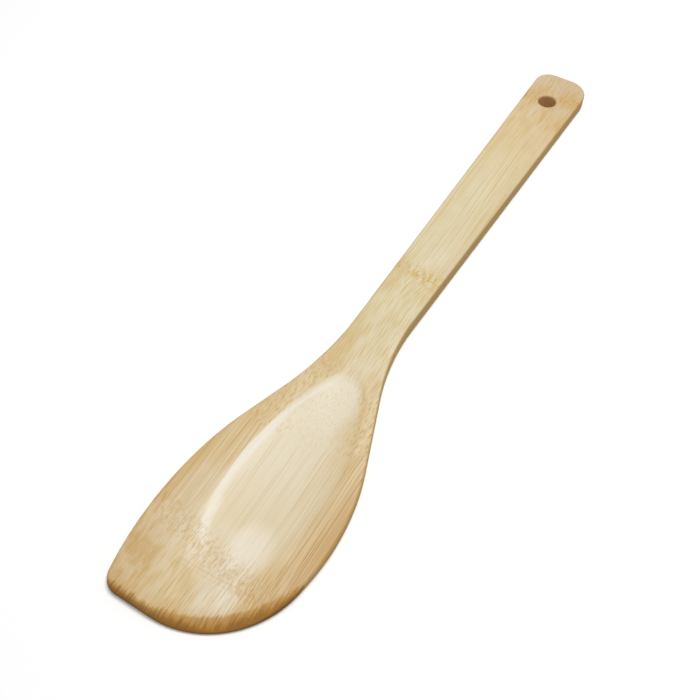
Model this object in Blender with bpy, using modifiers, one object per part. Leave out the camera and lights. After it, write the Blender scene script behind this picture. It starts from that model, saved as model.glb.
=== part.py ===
"""Bamboo turner, carved from one strip of bamboo.

Model units are metres, +Z up. X runs across the handle and +Y towards its end. The flat underside
lies at Z = 0, and the origin is on the handle's centre line, half way along the turner.
"""

import math

import bmesh
import bpy
from mathutils import Euler, Matrix, Vector

# Whole turner
LENGTH = 0.300
THICKNESS = 0.007
RIM_RADIUS = 0.0009

# Handle, straight and slightly wider at its end
HANDLE_END_WIDTH = 0.0252
NECK_WIDTH = 0.0186
END_LEFT_RADIUS = 0.007
END_RIGHT_RADIUS = 0.0095

# Hanging hole, a little left of the centre line, with eased mouths
HOLE_DIAMETER = 0.008
HOLE_FROM_END = 0.020
HOLE_LEFT_OF_CENTRE = 0.001
HOLE_EASE = 0.0005

# Blade outline: reach from the centre line, distance behind the front edge, and rounding radius
LEFT_NECK_FROM_FRONT = 0.1065
LEFT_NECK_RADIUS = 0.116
LEFT_FLANK_REACH = 0.0319
LEFT_FLANK_FROM_FRONT = 0.0402
LEFT_FLANK_RADIUS = 0.126
LEFT_CORNER_REACH = 0.0232
LEFT_CORNER_RADIUS = 0.0065
RIGHT_CORNER_REACH = 0.0264
RIGHT_CORNER_SET_BACK = 0.001
RIGHT_CORNER_RADIUS = 0.036
RIGHT_FLANK_REACH = 0.0336
RIGHT_FLANK_FROM_FRONT = 0.0565
RIGHT_FLANK_RADIUS = 0.083
RIGHT_NECK_FROM_FRONT = 0.119
RIGHT_NECK_RADIUS = 0.090

# Side profile: the blade's top falls away from the handle's level to a thin front
BLADE_FALL_FROM_FRONT = 0.108
BLADE_FALL_RADIUS = 0.500
FRONT_THICKNESS = 0.0030

# Egg-shaped dish scooped in the blade's top, leaned to a ridge on its left and pitched to fade at
# its foot. Its width and length are those of the gouge before it is leaned and pitched.
DISH_WIDTH = 0.0366
DISH_LENGTH = 0.088
DISH_DEPTH = 0.0018
DISH_ROUNDNESS = 0.0032
DISH_FROM_FRONT = 0.057
DISH_RIGHT_OF_CENTRE = 0.0078
DISH_TAPER = 0.28
DISH_TURN = math.radians(2)
DISH_LEAN = math.radians(3)
DISH_PITCH = math.radians(0.8)

# Bevel ground on the top of the front edge, widest round the right sweep
BEVEL_RADIUS = 0.0484
BEVEL_LEFT_OF_CENTRE = 0.0158
BEVEL_FROM_FRONT = 0.0497
BEVEL_ANGLE = math.radians(24)
BEVEL_START = math.radians(-120)
BEVEL_SWEEP = math.radians(130)

# Smoothness of the curves
ARC_STEP = math.radians(4)
LONG_ARC_STEPS = 10
ROUND_STEPS = 48
BEVEL_STEP = math.radians(3)
DISH_SEGMENTS = 72
DISH_RINGS = 36
RIM_SEGMENTS = 3
RIM_LEAST_TURN = math.radians(50)

# How far a cutter runs past what it cuts
CLEAR = 0.004
MERGE = 0.00001

# Largest share of an edge that a rounded corner takes, and of the front's thickness that a rim takes
CORNER_SHARE = 0.85
RIM_SHARE = 0.4

BAMBOO_COLOUR = (0.72, 0.56, 0.33, 1.0)
BAMBOO_ROUGHNESS = 0.55

FRONT = -LENGTH / 2
END = LENGTH / 2
FALL_ANGLE = math.atan2(THICKNESS - FRONT_THICKNESS, BLADE_FALL_FROM_FRONT)


def clear_scene():
    """Remove whatever the file already holds."""
    for thing in list(bpy.data.objects):
        bpy.data.objects.remove(thing, do_unlink=True)


def new_collection(name):
    collection = bpy.data.collections.new(name)
    bpy.context.scene.collection.children.link(collection)
    return collection


def corner_arc(before, at, after, radius):
    """Points of the arc that rounds one corner, kept within its two edges."""
    back = (before - at).normalized()
    on = (after - at).normalized()
    half = back.angle(on) / 2
    room = min((before - at).length, (after - at).length) * CORNER_SHARE
    tangent = min(radius / math.tan(half), room)
    centre = at + (back + on).normalized() * tangent / math.cos(half)
    start = at + back * tangent - centre
    turn = start.angle_signed(at + on * tangent - centre)
    steps = max(LONG_ARC_STEPS, math.ceil(abs(turn) / ARC_STEP))
    return [centre + Matrix.Rotation(-turn * step / steps, 2) @ start for step in range(steps + 1)]


def rounded(corners):
    """Points of a closed outline given by corners (x, y, radius), each rounded by its radius."""
    spots = [Vector(corner[:2]) for corner in corners]
    points = []
    for here, corner in enumerate(corners):
        if corner[2] > 0.0:
            after = spots[(here + 1) % len(spots)]
            points.extend(corner_arc(spots[here - 1], spots[here], after, corner[2]))
        else:
            points.append(spots[here])
    return points


def flat_solid(name, points, low, high, collection):
    """Mesh object of a flat outline, extruded in its own Z from low to high."""
    curve = bpy.data.curves.new(name, "CURVE")
    curve.dimensions = "2D"
    curve.fill_mode = "BOTH"
    curve.extrude = (high - low) / 2
    spline = curve.splines.new("POLY")
    spline.points.add(len(points) - 1)
    for spot, point in zip(spline.points, points):
        spot.co = (point[0], point[1], 0.0, 1.0)
    spline.use_cyclic_u = True
    guide = bpy.data.objects.new(name + "_outline", curve)
    collection.objects.link(guide)
    bpy.context.view_layer.update()
    evaluated = guide.evaluated_get(bpy.context.evaluated_depsgraph_get())
    mesh = bpy.data.meshes.new_from_object(evaluated)
    bpy.data.objects.remove(guide, do_unlink=True)
    shape = bmesh.new()
    shape.from_mesh(mesh)
    bmesh.ops.remove_doubles(shape, verts=shape.verts, dist=MERGE)
    bmesh.ops.translate(shape, verts=shape.verts, vec=(0.0, 0.0, (low + high) / 2))
    bmesh.ops.recalc_face_normals(shape, faces=shape.faces)
    shape.to_mesh(mesh)
    shape.free()
    mesh.name = name
    solid = bpy.data.objects.new(name, mesh)
    collection.objects.link(solid)
    return solid


def turned_solid(name, profile, collection):
    """Solid turned about its own Z from a profile of (radius, height) points, axis to axis."""
    mesh = bpy.data.meshes.new(name)
    shape = bmesh.new()
    spots = [shape.verts.new((radius, 0.0, height)) for radius, height in profile]
    for first, second in zip(spots, spots[1:]):
        shape.edges.new((first, second))
    shape.to_mesh(mesh)
    shape.free()
    solid = bpy.data.objects.new(name, mesh)
    collection.objects.link(solid)
    screw = solid.modifiers.new("Turn", "SCREW")
    screw.steps = ROUND_STEPS
    screw.render_steps = ROUND_STEPS
    screw.use_merge_vertices = True
    screw.merge_threshold = MERGE
    return solid


def swept_sector(name, section, start, sweep, collection):
    """Solid swept about its own Z from a closed section of (radius, height) points."""
    mesh = bpy.data.meshes.new(name)
    shape = bmesh.new()
    spots = [shape.verts.new((radius, 0.0, height)) for radius, height in section]
    sides = [shape.edges.new((spots[here - 1], spots[here])) for here in range(len(spots))]
    bmesh.ops.rotate(shape, verts=spots, matrix=Matrix.Rotation(start, 3, "Z"))
    steps = math.ceil(sweep / BEVEL_STEP)
    bmesh.ops.spin(shape, geom=spots + sides, axis=(0.0, 0.0, 1.0), angle=sweep, steps=steps)
    bmesh.ops.holes_fill(shape, edges=shape.edges, sides=len(section))
    bmesh.ops.recalc_face_normals(shape, faces=shape.faces)
    shape.to_mesh(mesh)
    shape.free()
    solid = bpy.data.objects.new(name, mesh)
    collection.objects.link(solid)
    return solid


def as_cutter(solid):
    solid.hide_render = True
    solid.display_type = "WIRE"
    return solid


def cut(target, cutter, operation):
    change = target.modifiers.new(cutter.name, "BOOLEAN")
    change.operation = operation
    change.object = cutter
    change.solver = "EXACT"


def plan_corners():
    """Corners of the outline seen from above, counter-clockwise from the handle end's left."""
    end = HANDLE_END_WIDTH / 2
    neck = NECK_WIDTH / 2
    return [
        (-end, END, END_LEFT_RADIUS),
        (-neck, FRONT + LEFT_NECK_FROM_FRONT, LEFT_NECK_RADIUS),
        (-LEFT_FLANK_REACH, FRONT + LEFT_FLANK_FROM_FRONT, LEFT_FLANK_RADIUS),
        (-LEFT_CORNER_REACH, FRONT, LEFT_CORNER_RADIUS),
        (RIGHT_CORNER_REACH, FRONT + RIGHT_CORNER_SET_BACK, RIGHT_CORNER_RADIUS),
        (RIGHT_FLANK_REACH, FRONT + RIGHT_FLANK_FROM_FRONT, RIGHT_FLANK_RADIUS),
        (neck, FRONT + RIGHT_NECK_FROM_FRONT, RIGHT_NECK_RADIUS),
        (end, END, END_RIGHT_RADIUS),
    ]


def side_corners():
    """Corners of the profile seen from the right: (Y, Z, radius)."""
    past_front = CLEAR * math.tan(FALL_ANGLE)
    return [
        (FRONT - CLEAR, 0.0, 0.0),
        (END + CLEAR, 0.0, 0.0),
        (END + CLEAR, THICKNESS, 0.0),
        (FRONT + BLADE_FALL_FROM_FRONT, THICKNESS, BLADE_FALL_RADIUS),
        (FRONT - CLEAR, FRONT_THICKNESS - past_front, 0.0),
    ]


def on_blade_top(from_front, across):
    """Frame on the blade's sloping top: its Z is square to the top and its Y runs up the slope."""
    height = FRONT_THICKNESS + from_front * math.tan(FALL_ANGLE)
    place = Matrix.Translation((across, FRONT + from_front, height))
    return place @ Matrix.Rotation(FALL_ANGLE, 4, "X")


def make_side_profile(collection):
    reach = max(LEFT_FLANK_REACH, RIGHT_FLANK_REACH, HANDLE_END_WIDTH) + CLEAR
    profile = flat_solid("side_profile", rounded(side_corners()), -reach, reach, collection)
    profile.rotation_euler = Euler((math.pi / 2, 0.0, math.pi / 2))
    return as_cutter(profile)


def make_dish_cutter(collection):
    """Ellipsoid narrowed to its head, which dips below the blade's top by the dish's depth."""
    share = math.sqrt(1.0 - (1.0 - DISH_DEPTH / DISH_ROUNDNESS) ** 2)
    half_axes = (DISH_WIDTH / 2 / share, DISH_LENGTH / 2 / share, DISH_ROUNDNESS)
    bpy.ops.mesh.primitive_uv_sphere_add(segments=DISH_SEGMENTS, ring_count=DISH_RINGS, radius=1.0)
    cutter = bpy.context.object
    cutter.name = "dish_cutter"
    for owner in list(cutter.users_collection):
        owner.objects.unlink(cutter)
    collection.objects.link(cutter)
    lift = Matrix.Translation((0.0, 0.0, DISH_ROUNDNESS - DISH_DEPTH))
    for vertex in cutter.data.vertices:
        vertex.co.x *= 1.0 - DISH_TAPER / share * vertex.co.y
    cutter.data.transform(lift @ Matrix.Diagonal((*half_axes, 1.0)))
    tilt = Matrix.Rotation(-DISH_LEAN, 4, "Y") @ Matrix.Rotation(-DISH_PITCH, 4, "X")
    place = on_blade_top(DISH_FROM_FRONT, DISH_RIGHT_OF_CENTRE)
    cutter.matrix_world = place @ Matrix.Rotation(DISH_TURN, 4, "Z") @ tilt
    return as_cutter(cutter)


def make_bevel_cutter(collection):
    """Sector whose underside is part of a cone, so it grinds more where the edge lies further out."""
    width = LEFT_CORNER_RADIUS + RIGHT_CORNER_REACH
    drop = width * math.tan(BEVEL_ANGLE)
    outer = BEVEL_RADIUS + width
    section = [(outer, CLEAR), (outer, -drop), (BEVEL_RADIUS, 0.0), (BEVEL_RADIUS, CLEAR)]
    cutter = swept_sector("bevel_cutter", section, BEVEL_START, BEVEL_SWEEP, collection)
    cutter.matrix_world = on_blade_top(BEVEL_FROM_FRONT, -BEVEL_LEFT_OF_CENTRE)
    return as_cutter(cutter)


def make_hole_cutter(collection):
    """Hanging hole with a short flare at each face."""
    radius = HOLE_DIAMETER / 2
    flare = radius + HOLE_EASE + CLEAR
    profile = [
        (0.0, THICKNESS + CLEAR),
        (flare, THICKNESS + CLEAR),
        (radius, THICKNESS - HOLE_EASE),
        (radius, HOLE_EASE),
        (flare, -CLEAR),
        (0.0, -CLEAR),
    ]
    cutter = turned_solid("hole_cutter", profile, collection)
    cutter.location = (-HOLE_LEFT_OF_CENTRE, END - HOLE_FROM_END, 0.0)
    return as_cutter(cutter)


def bamboo():
    material = bpy.data.materials.new("bamboo")
    material.use_nodes = True
    shader = material.node_tree.nodes["Principled BSDF"]
    shader.inputs["Base Color"].default_value = BAMBOO_COLOUR
    shader.inputs["Roughness"].default_value = BAMBOO_ROUGHNESS
    return material


def make_turner(parts, cutters):
    """Outline sawn out, top brought to its profile, rims eased, then dished, bevelled and bored."""
    turner = flat_solid("turner", rounded(plan_corners()), -CLEAR, THICKNESS + CLEAR, parts)
    cut(turner, make_side_profile(cutters), "INTERSECT")
    rims = turner.modifiers.new("Rims", "BEVEL")
    rims.width = min(RIM_RADIUS, FRONT_THICKNESS * RIM_SHARE)
    rims.segments = RIM_SEGMENTS
    rims.limit_method = "ANGLE"
    rims.angle_limit = RIM_LEAST_TURN
    cut(turner, make_dish_cutter(cutters), "DIFFERENCE")
    cut(turner, make_bevel_cutter(cutters), "DIFFERENCE")
    cut(turner, make_hole_cutter(cutters), "DIFFERENCE")
    turner.data.shade_smooth()
    shading = turner.modifiers.new("Shading", "WEIGHTED_NORMAL")
    shading.keep_sharp = True
    turner.data.materials.append(bamboo())
    return turner


def main():
    clear_scene()
    parts = new_collection("bamboo_turner")
    cutters = new_collection("cutters")
    make_turner(parts, cutters)


main()
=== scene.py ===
"""Bamboo turner: one strip of bamboo sawn to its outline, planed, dished, bevelled, bored and sanded.

Lengths are metres in the row frame. X runs across, +Y towards the handle's end and +Z up from the
flat underside, with the origin on the handle's centre line, half way along.
"""

import math

import bmesh
import bpy
from bpy.props import FloatProperty, FloatVectorProperty, IntProperty, PointerProperty
from bpy.types import Operator, Panel, PropertyGroup
from mathutils import Matrix, Vector


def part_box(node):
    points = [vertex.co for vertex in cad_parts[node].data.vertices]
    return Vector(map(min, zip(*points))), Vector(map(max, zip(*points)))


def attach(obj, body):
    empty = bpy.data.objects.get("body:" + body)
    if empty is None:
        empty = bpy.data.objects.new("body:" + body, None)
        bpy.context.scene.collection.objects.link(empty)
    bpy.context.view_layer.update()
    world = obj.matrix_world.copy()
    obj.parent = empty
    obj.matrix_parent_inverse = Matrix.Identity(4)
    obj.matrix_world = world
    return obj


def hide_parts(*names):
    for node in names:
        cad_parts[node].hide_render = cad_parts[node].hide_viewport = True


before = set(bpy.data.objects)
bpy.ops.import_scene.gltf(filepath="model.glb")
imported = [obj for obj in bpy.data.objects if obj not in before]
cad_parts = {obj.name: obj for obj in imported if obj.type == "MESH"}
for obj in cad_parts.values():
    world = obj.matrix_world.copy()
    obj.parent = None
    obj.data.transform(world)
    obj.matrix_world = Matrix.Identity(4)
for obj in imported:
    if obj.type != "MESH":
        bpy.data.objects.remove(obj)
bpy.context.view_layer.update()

bl_info = {
    "name": "Bamboo Turner",
    "version": (1, 0, 0),
    "blender": (4, 5, 0),
    "location": "3D View > Sidebar > Turner",
    "description": "Models a one-piece bamboo turner and sets it on a pale floor",
    "category": "Object",
}

NODE = "turner"
BODY = "root"

LOWEST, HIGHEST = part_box(NODE)
FRONT = LOWEST.y
END = HIGHEST.y
MM = 0.001

# How far a tool runs past what it cuts
CLEAR = 4 * MM

# Largest share of an edge that a rounded corner takes
CORNER_SHARE = 0.85

# Edges of the blank that turn by more than this are rims
RIM_TURN = math.radians(50)

# Facets round the gouge and the drill, and steps of the grinding wheel's sweep
GOUGE_SIDES = 160
DRILL_SIDES = 96
WHEEL_STEPS = 130

# Least upright part of the normal of the drill's end faces
END_FACE = 0.9

# Share of the way to its neighbours that sanding moves a point
SANDING_SHARE = 0.5


def length(name, description, default):
    """Length property shown in the sidebar in the scene's units."""
    return FloatProperty(name=name, description=description, default=default, unit="LENGTH", precision=5)


def slope(name, description, degrees):
    """Angle property shown in the sidebar in degrees."""
    return FloatProperty(name=name, description=description, default=math.radians(degrees), unit="ROTATION")


def factor(name, description, default):
    """Share from 0 to 1, shown in the sidebar as a slider."""
    slider = {"subtype": "FACTOR", "min": 0.0, "max": 1.0}
    return FloatProperty(name=name, description=description, default=default, **slider)


def colour(name, description, default):
    """Linear colour property with a swatch in the sidebar."""
    return FloatVectorProperty(
        name=name, description=description, default=default, subtype="COLOR", size=3, min=0.0, max=1.0
    )


class TurnerBlank(PropertyGroup):
    """Outline and side profile of the sawn and planed blank."""

    thickness: length("Thickness", "Thickness of the handle", HIGHEST.z - LOWEST.z)
    end_width: length("End width", "Width of the handle at its end", 25.2 * MM)
    end_left_radius: length("End left radius", "Rounding of the handle end's left corner", 7 * MM)
    end_right_radius: length("End right radius", "Rounding of the handle end's right corner", 9.5 * MM)
    neck_width: length("Neck width", "Width of the handle where the blade starts", 18.6 * MM)
    left_neck: length("Left neck", "Left neck corner's distance from the front", 106.5 * MM)
    left_neck_radius: length("Left neck radius", "Hollow of the left neck", 116 * MM)
    right_neck: length("Right neck", "Right neck corner's distance from the front", 119 * MM)
    right_neck_radius: length("Right neck radius", "Hollow of the right neck", 90 * MM)
    left_reach: length("Left reach", "Left flank corner's distance from the centre line", 31.9 * MM)
    left_flank: length("Left flank", "Left flank corner's distance from the front", 40.2 * MM)
    left_flank_radius: length("Left flank radius", "Swell of the left flank", 126 * MM)
    right_reach: length("Right reach", "Right flank corner's distance from the centre line", 33.6 * MM)
    right_flank: length("Right flank", "Right flank corner's distance from the front", 56.5 * MM)
    right_flank_radius: length("Right flank radius", "Swell of the right flank", 83 * MM)
    left_corner: length("Left corner", "Front left corner's distance from the centre line", 23.2 * MM)
    left_corner_radius: length("Left corner radius", "Rounding of the front left corner", 6.5 * MM)
    right_corner: length("Right corner", "Front right corner's distance from the centre line", 26.4 * MM)
    right_corner_back: length("Right corner set back", "How far that corner stands behind the front", MM)
    right_corner_radius: length("Right corner radius", "Sweep of the front right corner", 36 * MM)
    fall: length("Fall", "Distance from the front where the top starts to fall", 108 * MM)
    fall_radius: length("Fall radius", "Rounding where the top starts to fall", 500 * MM)
    front_thickness: length("Front thickness", "Thickness of the blade at its front", 3 * MM)
    rim_radius: length("Rim radius", "Rounding of the rims", 0.9 * MM)
    rim_segments: IntProperty(name="Rim segments", description="Steps across a rounded rim", default=4)
    arc_segments: IntProperty(name="Arc segments", description="Steps round a corner", default=24)


class TurnerTools(PropertyGroup):
    """Sizes of the gouge, the bevel, the drill and the sanding."""

    dish_width: length("Dish width", "Width of the dish, were its gouge level", 36.6 * MM)
    dish_length: length("Dish length", "Length of the dish, were its gouge level", 88 * MM)
    dish_depth: length("Dish depth", "Depth of the dish under the blade's top", 1.8 * MM)
    dish_roundness: length("Dish roundness", "Half height of the gouge that cuts the dish", 3.2 * MM)
    dish_from_front: length("Dish from front", "Distance of the gouge's middle from the front", 57 * MM)
    dish_right: length("Dish right", "Distance of the gouge's middle right of the centre line", 7.8 * MM)
    dish_taper: factor("Dish taper", "Narrowing of the dish to its head", 0.28)
    dish_turn: slope("Dish turn", "Turn of the dish about its own upright axis", 2)
    dish_lean: slope("Dish lean", "Lean of the gouge to the left, which steepens that wall", 3)
    dish_pitch: slope("Dish pitch", "Pitch of the gouge to the head, which fades the dish at its foot", 0.8)
    bevel_radius: length("Bevel radius", "Radius of the bevel's upper border", 48.4 * MM)
    bevel_left: length("Bevel left", "Distance of its centre left of the centre line", 15.8 * MM)
    bevel_from_front: length("Bevel from front", "Distance of its centre from the front", 49.7 * MM)
    bevel_angle: slope("Bevel angle", "Slope of the bevel", 24)
    bevel_start: slope("Bevel start", "Where the bevel starts, from +X", -120)
    bevel_sweep: slope("Bevel sweep", "How far round the bevel runs", 130)
    hole_diameter: length("Hole diameter", "Diameter of the hanging hole", 8 * MM)
    hole_from_end: length("Hole from end", "Distance of the hole's middle from the handle's end", 20 * MM)
    hole_left: length("Hole left", "Distance of the hole's middle left of the centre line", MM)
    hole_ease: length("Hole ease", "Easing of the hole's mouths", 0.5 * MM)
    grit: length("Grit", "Mesh size of the sanded surface", 0.35 * MM)
    sanding: IntProperty(name="Sanding", description="Rounds of sanding over every edge", default=4)
    triangles: IntProperty(name="Triangles", description="Most triangles that are kept", default=170000)


class BambooFinish(PropertyGroup):
    """Colours of bare bamboo, and of the highlights and shade painted on it."""

    # Cream is also laid as a painted highlight round the dish's right and lower edge and in some patches
    cream: colour("Cream", "Palest ground tissue, in the dish", (0.785, 0.69, 0.505))
    # Crest is a painted highlight on the dish's left wall and in a few patches, and is also laid a little
    # over the dish's head; glint is a painted highlight on that wall's steepest edge
    crest: colour("Crest", "Polished wall under the dish's left crest", (0.92, 0.85, 0.72))
    glint: colour("Glint", "Steep edge of that wall", (0.98, 0.93, 0.83))
    blond: colour("Blond", "Ground tissue of the handle", (0.68, 0.61, 0.375))
    straw: colour("Straw", "Ground tissue of the shoulders", (0.735, 0.585, 0.34))
    # Painted shade, laid over the handle's end to darken it
    end_shade: colour("Dun", "Ground tissue at the handle's end", (0.58, 0.48, 0.34))
    amber: colour("Amber", "Ground tissue near the front and the right edge", (0.57, 0.37, 0.15))
    fibre: colour("Fibre", "Fibre bundles of the blade", (0.58, 0.345, 0.09))
    honey: colour("Honey", "Fibre bundles of the handle", (0.62, 0.42, 0.12))
    golden: colour("Golden", "Upper border of the front bevel", (0.57, 0.325, 0.09))
    pin: colour("Pin", "Flecks at the culm nodes", (0.47, 0.25, 0.07))
    side: colour("Side", "Sawn sides", (0.76, 0.46, 0.12))
    caramel: colour("Caramel", "Middle of the front bevel", (0.42, 0.185, 0.02))
    # Umber is painted shade along the front rim, and the colour of the bevel's pores and dark streaks
    umber: colour("Umber", "Outer rim and pores of the front bevel", (0.20, 0.08, 0.0))
    # Darker, browner colour laid on the hanging hole's wall
    bore_brown: colour("Burnt", "Wall of the hanging hole", (0.75, 0.45, 0.20))
    roughness: factor("Roughness", "Roughness of the sanded face", 0.5)


def select_only(thing):
    """Leave one object selected and active."""
    bpy.ops.object.select_all(action="DESELECT")
    thing.select_set(True)
    bpy.context.view_layer.objects.active = thing


def new_primitive(name, add, **settings):
    """Object of a primitive operator, alone in the selection and with its place in its mesh."""
    bpy.ops.object.select_all(action="DESELECT")
    add(**settings)
    thing = bpy.context.object
    thing.name = name
    thing.data.name = name
    bpy.ops.object.transform_apply(location=True, rotation=True, scale=True)
    return thing


def apply_modifier(thing, kind, **settings):
    """Add a modifier with its settings and apply it."""
    select_only(thing)
    bpy.ops.object.modifier_add(type=kind)
    modifier = thing.modifiers[-1]
    for name, value in settings.items():
        setattr(modifier, name, value)
    bpy.ops.object.modifier_apply(modifier=modifier.name)


def cut(thing, tool, operation="DIFFERENCE"):
    """Cut a thing with a closed tool, which is used up."""
    apply_modifier(thing, "BOOLEAN", operation=operation, object=tool, solver="EXACT")
    bpy.data.objects.remove(tool, do_unlink=True)
    if not thing.data.polygons:
        raise RuntimeError("the cut left nothing of " + thing.name)


def round_corner(mesh, place, before, after, radius, segments):
    """Round one corner of a flat outline, in edit mode, by a vertex bevel close to a true arc."""
    back = before - place
    on = after - place
    turn = math.pi - back.angle(on)
    tangent = min(radius * math.tan(turn / 2), CORNER_SHARE * min(back.length, on.length))
    middle = 1 / (2 * (1 + math.cos(turn / 2)))
    bpy.ops.mesh.select_all(action="DESELECT")
    shape = bmesh.from_edit_mesh(mesh)
    nearest = min(shape.verts, key=lambda vertex: (vertex.co - place).length)
    nearest.select_set(True)
    bmesh.update_edit_mesh(mesh)
    bpy.ops.mesh.bevel(
        offset=tangent,
        offset_type="OFFSET",
        segments=segments,
        profile=(1 - middle) ** 2,
        affect="VERTICES",
        clamp_overlap=False,
    )


def sawn_plate(name, corners, thickness, segments):
    """Plate whose outline is given by (place, radius) corners, extruded by the thickness vector."""
    plate = new_primitive(name, bpy.ops.mesh.primitive_circle_add, vertices=len(corners), fill_type="NGON")
    for vertex, (place, radius) in zip(plate.data.vertices, corners):
        vertex.co = place
    bpy.ops.object.mode_set(mode="EDIT")
    bpy.ops.mesh.select_mode(type="VERT")
    for here, (place, radius) in enumerate(corners):
        if radius > 0.0:
            before = corners[here - 1][0]
            after = corners[(here + 1) % len(corners)][0]
            round_corner(plate.data, place, before, after, radius, segments)
    bpy.ops.mesh.select_all(action="SELECT")
    bpy.ops.mesh.extrude_region_move(TRANSFORM_OT_translate={"value": thickness})
    bpy.ops.mesh.select_all(action="SELECT")
    bpy.ops.mesh.normals_make_consistent(inside=False)
    bpy.ops.object.mode_set(mode="OBJECT")
    return plate


def plan_corners(blank):
    """Corners of the outline seen from above, from the handle end's left and round by the front."""
    end = blank.end_width / 2
    neck = blank.neck_width / 2
    spots = [
        (-end, END, blank.end_left_radius),
        (-neck, FRONT + blank.left_neck, blank.left_neck_radius),
        (-blank.left_reach, FRONT + blank.left_flank, blank.left_flank_radius),
        (-blank.left_corner, FRONT, blank.left_corner_radius),
        (blank.right_corner, FRONT + blank.right_corner_back, blank.right_corner_radius),
        (blank.right_reach, FRONT + blank.right_flank, blank.right_flank_radius),
        (neck, FRONT + blank.right_neck, blank.right_neck_radius),
        (end, END, blank.end_right_radius),
    ]
    return [(Vector((x, y, -CLEAR)), radius) for x, y, radius in spots]


def sweep_middle(blank):
    """Middle of the round that the front edge sweeps back on, seen from above."""
    corner = Vector((blank.right_corner, FRONT + blank.right_corner_back, 0.0))
    to_left = (Vector((-blank.left_corner, FRONT, 0.0)) - corner).normalized()
    to_flank = (Vector((blank.right_reach, FRONT + blank.right_flank, 0.0)) - corner).normalized()
    half = to_left.angle(to_flank) / 2
    return corner + (to_left + to_flank).normalized() * blank.right_corner_radius / math.sin(half)


def fall_angle(blank):
    return math.atan2(blank.thickness - blank.front_thickness, blank.fall)


def side_corners(blank, reach):
    """Corners of the planed profile, on a plane across at minus the reach."""
    past_front = CLEAR * math.tan(fall_angle(blank))
    spots = [
        (FRONT - CLEAR, 0.0, 0.0),
        (END + CLEAR, 0.0, 0.0),
        (END + CLEAR, blank.thickness, 0.0),
        (FRONT + blank.fall, blank.thickness, blank.fall_radius),
        (FRONT - CLEAR, blank.front_thickness - past_front, 0.0),
    ]
    return [(Vector((-reach, y, z)), radius) for y, z, radius in spots]


def on_blade_top(blank, from_front, across):
    """Frame on the blade's sloping top: its Z is square to the top and its Y runs up the slope."""
    height = blank.front_thickness + from_front * math.tan(fall_angle(blank))
    place = Matrix.Translation((across, FRONT + from_front, height))
    return place @ Matrix.Rotation(fall_angle(blank), 4, "X")


def dish_reach(tools, size, tilt):
    """How far a tilted gouge's cut shifts to its lowered side, and its half size there."""
    rise = tools.dish_roundness - tools.dish_depth
    share = math.sqrt(1.0 - (rise / tools.dish_roundness) ** 2)
    square = (2 * share * math.cos(tilt) / size) ** 2 + (math.sin(tilt) / tools.dish_roundness) ** 2
    shift = rise * math.sin(tilt) / tools.dish_roundness**2 / square
    return shift, math.sqrt(shift**2 + share**2 / square)


def seat(tool, matrix):
    """Put a tool's mesh in its place and leave its object at the origin."""
    tool.matrix_world = matrix
    select_only(tool)
    bpy.ops.object.transform_apply(location=True, rotation=True, scale=True)


class TURNER_OT_blank(Operator):
    """Saw the blank to its outline, plane its top and round its rims"""

    bl_idname = "turner.blank"
    bl_label = "Saw and plane the blank"

    def execute(self, context):
        blank = context.scene.turner_blank
        reach = max(blank.left_reach, blank.right_reach) + CLEAR
        height = Vector((0.0, 0.0, blank.thickness + 2 * CLEAR))
        piece = sawn_plate("turner_body", plan_corners(blank), height, blank.arc_segments)
        width = Vector((2 * reach, 0.0, 0.0))
        profile = sawn_plate("side_profile", side_corners(blank, reach), width, blank.arc_segments)
        cut(piece, profile, "INTERSECT")
        select_only(piece)
        bpy.ops.object.mode_set(mode="EDIT")
        bpy.ops.mesh.select_mode(type="EDGE")
        bpy.ops.mesh.select_all(action="DESELECT")
        bpy.ops.mesh.edges_select_sharp(sharpness=RIM_TURN)
        bpy.ops.mesh.bevel(offset=blank.rim_radius, segments=blank.rim_segments, affect="EDGES")
        bpy.ops.object.mode_set(mode="OBJECT")
        return {"FINISHED"}


class TURNER_OT_dish(Operator):
    """Scoop the dish out of the blade's top with an oval gouge"""

    bl_idname = "turner.dish"
    bl_label = "Scoop the dish"

    def execute(self, context):
        blank = context.scene.turner_blank
        tools = context.scene.turner_tools
        share = math.sqrt(1.0 - (1.0 - tools.dish_depth / tools.dish_roundness) ** 2)
        gouge = new_primitive(
            "gouge",
            bpy.ops.mesh.primitive_uv_sphere_add,
            segments=GOUGE_SIDES,
            ring_count=GOUGE_SIDES // 2,
            radius=1.0,
            scale=(tools.dish_width / 2 / share, tools.dish_length / 2 / share, tools.dish_roundness),
            location=(0.0, 0.0, tools.dish_roundness - tools.dish_depth),
        )
        taper = {"deform_method": "TAPER", "deform_axis": "Y", "lock_z": True}
        apply_modifier(gouge, "SIMPLE_DEFORM", factor=-2 * tools.dish_taper / share, **taper)
        tilt = Matrix.Rotation(-tools.dish_lean, 4, "Y") @ Matrix.Rotation(-tools.dish_pitch, 4, "X")
        place = on_blade_top(blank, tools.dish_from_front, tools.dish_right)
        seat(gouge, place @ Matrix.Rotation(tools.dish_turn, 4, "Z") @ tilt)
        cut(context.scene.objects["turner_body"], gouge)
        return {"FINISHED"}


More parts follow.
